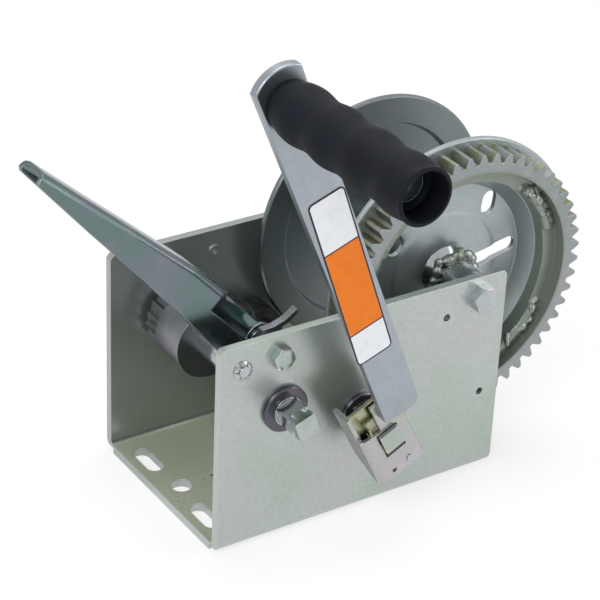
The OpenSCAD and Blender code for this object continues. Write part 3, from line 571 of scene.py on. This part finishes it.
def label_film():
    material, tree, shader = new_material("label_film")
    spot = add(tree, "ShaderNodeSeparateXYZ")
    tree.links.new(add(tree, "ShaderNodeUVMap", uv_map="film").outputs["UV"], spot.inputs[0])
    along, across = spot.outputs[0], spot.outputs[1]
    rim = add(tree, "ShaderNodeAttribute", attribute_name="rim")
    low, high = LABEL_SPLITS
    orange_low = math_node(tree, "GREATER_THAN", along, low)
    orange_high = math_node(tree, "LESS_THAN", along, high)
    orange = math_node(tree, "MULTIPLY", orange_low, orange_high)
    lines = [math_node(tree, "COMPARE", along, split) for split in LABEL_SPLITS]
    for line in lines:
        line.node.inputs[2].default_value = LABEL_LINE
    divider = math_node(tree, "MAXIMUM", lines[0], lines[1])
    where = add(tree, "ShaderNodeTexCoord").outputs["Object"]
    scuff = noise(tree, where, 130.0, 5.0, 0.65)
    paper_wear = map_range(tree, scuff, 0.45, 0.75, 0.0, 0.25)
    ink_wear = map_range(tree, scuff, 0.4, 0.75, 0.0, 0.3)
    paper = mix_colour(tree, paper_wear, seen(232, 234, 238), seen(186, 190, 198))
    ink = mix_colour(tree, ink_wear, seen(235, 124, 26), seen(206, 96, 12))
    colour = mix_colour(tree, orange, paper, ink)
    dark = math_node(tree, "MAXIMUM", divider, rim.outputs["Fac"])
    colour = mix_colour(tree, dark, colour, seen(44, 48, 58))
    tree.links.new(colour, shader.inputs["Base Color"])
    tree.links.new(map_range(tree, scuff, 0.3, 0.7, 0.3, 0.45), shader.inputs["Roughness"])
    shader.inputs["Specular IOR Level"].default_value = 0.25
    return material


finishes["label_film"] = label_film()
print("label film ready")

# %% [markdown]
# The CAD nodes arrive as loose triangles. A skin is a copy of one node whose corners are merged,
# whose flat triangles are joined into faces and whose curved faces are smoothed up to a set angle.
# It looks like the real turned or pressed part, has the same shape to a hair, and stands for its
# node in the picture.

# %% Skins for the CAD nodes
MERGE = 1e-6
SMOOTH_ANGLE = math.radians(34)


def skin(node, bevel=0.0, segments=2):
    mesh = nodes[node].data.copy()
    mesh.name = node + "_skin"
    shape = bmesh.new()
    shape.from_mesh(mesh)
    bmesh.ops.remove_doubles(shape, verts=shape.verts, dist=MERGE)
    if bevel:
        bmesh.ops.dissolve_limit(shape, angle_limit=math.radians(0.6), verts=shape.verts, edges=shape.edges)
    for face in shape.faces:
        face.smooth = True
    for edge in shape.edges:
        edge.smooth = len(edge.link_faces) == 2 and edge.calc_face_angle(0) < SMOOTH_ANGLE
    shape.to_mesh(mesh)
    shape.free()
    if "custom_normal" in mesh.attributes:
        mesh.attributes.remove(mesh.attributes["custom_normal"])
    piece = bpy.data.objects.new(node + "_skin", mesh)
    bpy.context.scene.collection.objects.link(piece)
    if bevel:
        round_edges(piece, bevel, segments)
    return piece


def round_edges(piece, width, segments):
    modifier = piece.modifiers.new("soft edges", "BEVEL")
    modifier.width = width
    modifier.segments = segments
    modifier.limit_method = "ANGLE"
    modifier.angle_limit = math.radians(50)
    modifier.use_clamp_overlap = True
    modifier.harden_normals = True


def dress(piece, *stands_for, body=None, slot=None, finish=None):
    first = stands_for[0] if stands_for else None
    body = body or body_of_node[first]
    slot = slot or slot_of_node[first]
    piece.data.materials.clear()
    piece.data.materials.append(finishes[finish or slot])
    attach(piece, body)
    if stands_for:
        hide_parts(*stands_for)


BEVELS = {
    "frame": 0.5 * MM,
    "crank_arm": 0.9 * MM,
    "crank_bracket": 0.4 * MM,
    "brake_lever": 0.35 * MM,
    "pawl": 0.4 * MM,
    "drive_hub": 0.4 * MM,
}
made_elsewhere = {"label_plate"}
for name in sorted(nodes):
    if name in made_elsewhere:
        continue
    dress(skin(name, BEVELS.get(name, 0.0)), name)
print("skins:", len(nodes) - len(made_elsewhere))

# %% [markdown]
# The label is a thin film with round corners on the arm's front face. It is built as a ring of
# points around its outline and a second ring inside it, so the band between them can be marked as
# the dark outline.

# %% Label piece


def rounded_outline(low, high, left, right, radius, steps=6):
    corners = (
        (high - radius, right - radius, 0),
        (low + radius, right - radius, 90),
        (low + radius, left + radius, 180),
        (high - radius, left + radius, 270),
    )
    points = []
    for along, across, start in corners:
        for step in range(steps + 1):
            turn = math.radians(start + 90 * step / steps)
            points.append((along + radius * math.cos(turn), across + radius * math.sin(turn)))
    return points


def crank_point(along, across, y):
    place = crank_axis + along * crank_along + across * crank_across
    return Vector((place.x, y, place.z))


def make_label():
    low, high = LABEL_ALONG
    left, right = LABEL_ACROSS
    inset = LABEL_OUTLINE
    outer = rounded_outline(low, high, left, right, LABEL_CORNER)
    inner = rounded_outline(low + inset, high - inset, left + inset, right - inset, LABEL_CORNER - inset)
    front_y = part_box("label_plate")[0].y
    back_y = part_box("label_plate")[1].y
    shape = bmesh.new()
    film = shape.loops.layers.uv.new("film")
    rim = shape.faces.layers.float.new("rim")
    rings = []
    for outline, y in ((outer, back_y), (outer, front_y), (inner, front_y)):
        rings.append([shape.verts.new(crank_point(along, across, y)) for along, across in outline])
    shape.faces.new(rings[0])
    shape.faces.new(rings[2])
    for first, second in ((0, 1), (1, 2)):
        for index in range(len(outer)):
            after = (index + 1) % len(outer)
            band = shape.faces.new((rings[first][index], rings[first][after], rings[second][after],
                                    rings[second][index]))
            band[rim] = 1.0
    bmesh.ops.recalc_face_normals(shape, faces=shape.faces)
    for face in shape.faces:
        for loop in face.loops:
            offset = loop.vert.co - crank_axis
            along = offset.dot(crank_along)
            across = offset.dot(crank_across)
            loop[film].uv = ((along - low) / (high - low), (across - left) / (right - left))
    mesh = bpy.data.meshes.new("label_film")
    shape.to_mesh(mesh)
    shape.free()
    piece = bpy.data.objects.new("label_film", mesh)
    bpy.context.scene.collection.objects.link(piece)
    return piece


dress(make_label(), "label_plate")
print("label length in mm:", round((LABEL_ALONG[1] - LABEL_ALONG[0]) / MM))

# %% [markdown]
# Geometry Nodes suit what repeats. A tree is built once with named inputs, and each use sets them
# by the socket's identifier. The result is turned into a plain mesh, so that the piece no longer
# depends on the tree.

# %% Helpers for geometry node trees


def new_geometry_tree(name, inputs):
    tree = bpy.data.node_groups.new(name, "GeometryNodeTree")
    for label, kind, value in inputs:
        socket = tree.interface.new_socket(label, in_out="INPUT", socket_type=kind)
        if value is not None:
            socket.default_value = value
    tree.interface.new_socket("Geometry", in_out="OUTPUT", socket_type="NodeSocketGeometry")
    return tree, add(tree, "NodeGroupInput"), add(tree, "NodeGroupOutput")


def grown_piece(name, tree, **values):
    holder = bpy.data.objects.new(name + "_holder", bpy.data.meshes.new(name + "_holder"))
    bpy.context.scene.collection.objects.link(holder)
    modifier = holder.modifiers.new("grow", "NODES")
    modifier.node_group = tree
    sockets = {item.name: item.identifier for item in tree.interface.items_tree if item.in_out == "INPUT"}
    for label, value in values.items():
        modifier[sockets[label.replace("_", " ")]] = value
    bpy.context.view_layer.update()
    depsgraph = bpy.context.evaluated_depsgraph_get()
    mesh = bpy.data.meshes.new_from_object(holder.evaluated_get(depsgraph))
    mesh.name = name
    piece = bpy.data.objects.new(name, mesh)
    bpy.context.scene.collection.objects.link(piece)
    bpy.data.objects.remove(holder)
    print(name, "faces:", len(mesh.polygons))
    return piece


print("geometry helpers ready")

# %% [markdown]
# The reel is welded by hand: its flanges to the hub tube, and the toothed ring to the near flange
# in four stitches. A bead is a row of lumps of uneven size that sink into each other. The tree sets
# a flattened lump on each point of an arc, nudges and sizes it by chance with a fixed seed, and
# melts all of them into one skin.

# %% Weld beads


def make_weld_tree():
    tree, source, sink = new_geometry_tree(
        "weld_bead",
        [
            ("Radius", "NodeSocketFloat", 0.013),
            ("Lumps", "NodeSocketInt", 26),
            ("Lump size", "NodeSocketFloat", 0.002),
            ("Start", "NodeSocketFloat", 0.0),
            ("Sweep", "NodeSocketFloat", math.tau),
            ("Ragged", "NodeSocketFloat", 0.001),
            ("Seed", "NodeSocketInt", 4),
            ("Place", "NodeSocketVector", None),
            ("Material", "NodeSocketMaterial", None),
        ],
    )
    arc = add(tree, "GeometryNodeCurveArc")
    for label, name in (("Resolution", "Lumps"), ("Radius", "Radius"), ("Start Angle", "Start"),
                        ("Sweep Angle", "Sweep")):
        tree.links.new(source.outputs[name], arc.inputs[label])
    points = add(tree, "GeometryNodeCurveToPoints", mode="EVALUATED")
    tree.links.new(arc.outputs["Curve"], points.inputs["Curve"])
    nudge = add(tree, "FunctionNodeRandomValue", data_type="FLOAT_VECTOR")
    nudge.inputs[0].default_value = (-1.0, -1.0, -0.6)
    nudge.inputs[1].default_value = (1.0, 1.0, 0.6)
    tree.links.new(source.outputs["Seed"], nudge.inputs["Seed"])
    scaled = add(tree, "ShaderNodeVectorMath", operation="SCALE")
    tree.links.new(nudge.outputs[0], scaled.inputs[0])
    tree.links.new(source.outputs["Ragged"], scaled.inputs["Scale"])
    moved = add(tree, "GeometryNodeSetPosition")
    tree.links.new(points.outputs["Points"], moved.inputs["Geometry"])
    tree.links.new(scaled.outputs[0], moved.inputs["Offset"])
    lump = add(tree, "GeometryNodeMeshIcoSphere")
    tree.links.new(source.outputs["Lump size"], lump.inputs["Radius"])
    lump.inputs["Subdivisions"].default_value = 3
    chance = add(tree, "FunctionNodeRandomValue", data_type="FLOAT_VECTOR")
    chance.inputs[0].default_value = (0.7, 0.7, 0.55)
    chance.inputs[1].default_value = (1.5, 1.5, 1.0)
    tree.links.new(source.outputs["Seed"], chance.inputs["Seed"])
    spread = add(tree, "GeometryNodeInstanceOnPoints")
    tree.links.new(moved.outputs["Geometry"], spread.inputs["Points"])
    tree.links.new(lump.outputs["Mesh"], spread.inputs["Instance"])
    tree.links.new(chance.outputs[0], spread.inputs["Scale"])
    solid = add(tree, "GeometryNodeRealizeInstances")
    tree.links.new(spread.outputs["Instances"], solid.inputs["Geometry"])
    cloud = add(tree, "GeometryNodeMeshToVolume")
    tree.links.new(solid.outputs["Geometry"], cloud.inputs["Mesh"])
    fine = math_node(tree, "MULTIPLY", source.outputs["Lump size"], 0.16)
    melt = add(tree, "GeometryNodeVolumeToMesh", resolution_mode="VOXEL_SIZE")
    cloud.resolution_mode = "VOXEL_SIZE"
    tree.links.new(fine, cloud.inputs["Voxel Size"])
    tree.links.new(math_node(tree, "MULTIPLY", fine, 1.5), cloud.inputs["Interior Band Width"])
    tree.links.new(cloud.outputs["Volume"], melt.inputs["Volume"])
    tree.links.new(math_node(tree, "MULTIPLY", fine, 1.5), melt.inputs["Voxel Size"])
    melt.inputs["Threshold"].default_value = 0.1
    turn = add(tree, "GeometryNodeTransform")
    tree.links.new(melt.outputs["Mesh"], turn.inputs["Geometry"])
    turn.inputs["Rotation"].default_value = (math.radians(90), 0, 0)
    tree.links.new(source.outputs["Place"], turn.inputs["Translation"])
    smooth = add(tree, "GeometryNodeSetShadeSmooth")
    tree.links.new(turn.outputs["Geometry"], smooth.inputs["Geometry"])
    paint = add(tree, "GeometryNodeSetMaterial")
    tree.links.new(smooth.outputs["Geometry"], paint.inputs["Geometry"])
    tree.links.new(source.outputs["Material"], paint.inputs["Material"])
    tree.links.new(paint.outputs["Geometry"], sink.inputs["Geometry"])
    return tree


def set_bead(name, y, radius, lumps, size, seed, ragged, start=0.0, sweep=360.0):
    place = Vector((reel_axis.x, y, reel_axis.z))
    bead = grown_piece(name, weld_tree, Radius=radius, Lumps=lumps, Lump_size=size,
                       Start=math.radians(start), Sweep=math.radians(sweep), Ragged=ragged, Seed=seed,
                       Place=place, Material=finishes["weld_zinc"])
    dress(bead, body="reel", slot="gear_zinc", finish="weld_zinc")


HUB_BEAD_OFF = 1.3 * MM
HUB_BEAD_RADIUS = 13.5 * MM
HUB_LUMPS = 22
HUB_LUMP = 3.1 * MM
HUB_RAGGED = 1.6 * MM
HUB_SEED = 4
STITCHES = (34, 136, 224, 316)
STITCH_SWEEP = 34
STITCH_DEEP = 7.7 * MM
STITCH_RADIUS = 66 * MM
STITCH_LUMPS = 24
STITCH_LUMP = 2.9 * MM
STITCH_RAGGED = 2.3 * MM
STITCH_SEED = 11
weld_tree = make_weld_tree()
middle_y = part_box("near_flange")[0].y - HUB_BEAD_OFF
stitch_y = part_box("reel_gear")[0].y + STITCH_DEEP
set_bead("hub_weld", middle_y, HUB_BEAD_RADIUS, HUB_LUMPS, HUB_LUMP, HUB_SEED, ragged=HUB_RAGGED)
for number, at in enumerate(STITCHES):
    set_bead(f"ring_weld_{number + 1}", stitch_y, STITCH_RADIUS, STITCH_LUMPS, STITCH_LUMP,
             STITCH_SEED + number, start=at - STITCH_SWEEP / 2, sweep=STITCH_SWEEP, ragged=STITCH_RAGGED)

# %% [markdown]
# Bolt ends that pass their nuts show a few turns of thread. A spiral with a small three-sided
# profile swept along it is lighter and cleaner than a modelled screw.

# %% Threads


def make_thread_tree():
    tree, source, sink = new_geometry_tree(
        "thread",
        [
            ("Radius", "NodeSocketFloat", 0.006),
            ("Pitch", "NodeSocketFloat", 0.0015),
            ("Turns", "NodeSocketFloat", 2.0),
            ("Place", "NodeSocketVector", None),
            ("Material", "NodeSocketMaterial", None),
        ],
    )
    spiral = add(tree, "GeometryNodeCurveSpiral")
    spiral.inputs["Resolution"].default_value = 40
    tree.links.new(source.outputs["Turns"], spiral.inputs["Rotations"])
    tree.links.new(source.outputs["Radius"], spiral.inputs["Start Radius"])
    tree.links.new(source.outputs["Radius"], spiral.inputs["End Radius"])
    height = math_node(tree, "MULTIPLY", source.outputs["Turns"], source.outputs["Pitch"])
    tree.links.new(height, spiral.inputs["Height"])
    ridge = add(tree, "GeometryNodeCurvePrimitiveCircle")
    ridge.inputs["Resolution"].default_value = 4
    tree.links.new(math_node(tree, "MULTIPLY", source.outputs["Pitch"], 0.36), ridge.inputs["Radius"])
    sweep = add(tree, "GeometryNodeCurveToMesh")
    tree.links.new(spiral.outputs["Curve"], sweep.inputs["Curve"])
    tree.links.new(ridge.outputs["Curve"], sweep.inputs["Profile Curve"])
    sweep.inputs["Fill Caps"].default_value = True
    turn = add(tree, "GeometryNodeTransform")
    tree.links.new(sweep.outputs["Mesh"], turn.inputs["Geometry"])
    turn.inputs["Rotation"].default_value = (math.radians(-90), 0, 0)
    tree.links.new(source.outputs["Place"], turn.inputs["Translation"])
    solid = add(tree, "GeometryNodeRealizeInstances")
    tree.links.new(turn.outputs["Geometry"], solid.inputs["Geometry"])
    paint = add(tree, "GeometryNodeSetMaterial")
    tree.links.new(solid.outputs["Geometry"], paint.inputs["Geometry"])
    tree.links.new(source.outputs["Material"], paint.inputs["Material"])
    tree.links.new(paint.outputs["Geometry"], sink.inputs["Geometry"])
    return tree


thread_tree = make_thread_tree()
THREADS = {
    "axle": ("axle_nut", "axle_bolt", reel_axis, 4.75 * MM),
    "pivot": ("pivot_nut", "pivot_bolt", pivot_axis, 4 * MM),
}
PITCH = 1.3 * MM
THREAD_SUNK = 0.1 * MM
for label, (nut, bolt, axis, radius) in THREADS.items():
    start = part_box(nut)[1].y
    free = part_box(bolt)[1].y - start - PITCH
    place = Vector((axis.x, start + PITCH / 2, axis.z))
    thread = grown_piece(label + "_thread", thread_tree, Radius=radius - THREAD_SUNK, Pitch=PITCH,
                         Turns=free / PITCH, Place=place, Material=finishes["fastener_zinc"])
    dress(thread, body="frame", slot="fastener_zinc")

# %% [markdown]
# The winch stands on a plain pale floor. The floor looks white to the camera and in the metal's
# reflections, but it still takes the object's shadow, because part of what the camera sees is the
# lit floor itself.

# %% Floor and backdrop
FLOOR_HALF = 3.0
FLOOR_DROP = 0.0004
FLOOR_GLOW = 1.12
FLOOR_GLOW_PART = 0.6
FLOOR_PAPER = (0.84, 0.84, 0.84, 1.0)
WORLD_STRENGTH = 0.45


def seen_directly(tree):
    path = add(tree, "ShaderNodeLightPath")
    either = math_node(tree, "MAXIMUM", path.outputs["Is Camera Ray"], path.outputs["Is Glossy Ray"])
    return math_node(tree, "MAXIMUM", either, path.outputs["Is Transmission Ray"])


def make_floor():
    shape = bmesh.new()
    corners = ((-1, -1), (1, -1), (1, 1), (-1, 1))
    shape.faces.new([shape.verts.new((FLOOR_HALF * x, FLOOR_HALF * y, -FLOOR_DROP)) for x, y in corners])
    mesh = bpy.data.meshes.new("floor")
    shape.to_mesh(mesh)
    shape.free()
    floor = bpy.data.objects.new("floor", mesh)
    bpy.context.scene.collection.objects.link(floor)
    material, tree, shader = new_material("floor_paper")
    shader.inputs["Base Color"].default_value = FLOOR_PAPER
    shader.inputs["Roughness"].default_value = 0.9
    shader.inputs["Specular IOR Level"].default_value = 0.0
    glow = add(tree, "ShaderNodeEmission")
    glow.inputs["Strength"].default_value = FLOOR_GLOW
    blend = add(tree, "ShaderNodeMixShader")
    tree.links.new(math_node(tree, "MULTIPLY", seen_directly(tree), FLOOR_GLOW_PART), blend.inputs["Fac"])
    tree.links.new(shader.outputs["BSDF"], blend.inputs[1])
    tree.links.new(glow.outputs["Emission"], blend.inputs[2])
    tree.links.new(blend.outputs["Shader"], tree.nodes["Material Output"].inputs["Surface"])
    mesh.materials.append(material)
    return floor


def make_world(strength):
    world = bpy.data.worlds.new("studio")
    bpy.context.scene.world = world
    world.use_nodes = True
    tree = world.node_tree
    background = tree.nodes["Background"]
    background.inputs["Color"].default_value = (1.0, 1.0, 1.0, 1.0)
    background.inputs["Strength"].default_value = strength
    white = add(tree, "ShaderNodeBackground")
    white.inputs["Strength"].default_value = 1.0
    blend = add(tree, "ShaderNodeMixShader")
    tree.links.new(seen_directly(tree), blend.inputs["Fac"])
    tree.links.new(background.outputs[0], blend.inputs[1])
    tree.links.new(white.outputs[0], blend.inputs[2])
    tree.links.new(blend.outputs[0], tree.nodes["World Output"].inputs["Surface"])
    return world


floor = make_floor()
make_world(WORLD_STRENGTH)
print("floor half width in m:", FLOOR_HALF)

# %% [markdown]
# Three large soft lamps stand in for a product photographer's boxes: one high on the left, one low
# on the right and one above. They are large, so their highlights on the plated steel are broad and
# soft.

# %% Lamps


def soft_box(name, place, target, size, power):
    data = bpy.data.lights.new(name, "AREA")
    data.shape = "SQUARE"
    data.size = size
    data.energy = power
    lamp = bpy.data.objects.new(name, data)
    lamp.location = place
    lamp.rotation_euler = (Vector(target) - Vector(place)).to_track_quat("-Z", "Y").to_euler()
    bpy.context.scene.collection.objects.link(lamp)
    return lamp


CENTRE = (0.0, -0.03, 0.14)
LAMPS = {
    "left_box": ((-1.1, -0.7, 1.3), 0.9, 14),
    "right_box": ((1.2, -1.0, 0.7), 1.0, 8),
    "top_box": ((0.2, 0.4, 1.7), 1.1, 12),
}
for lamp_name, (lamp_place, lamp_size, lamp_power) in LAMPS.items():
    soft_box(lamp_name, lamp_place, CENTRE, lamp_size, lamp_power)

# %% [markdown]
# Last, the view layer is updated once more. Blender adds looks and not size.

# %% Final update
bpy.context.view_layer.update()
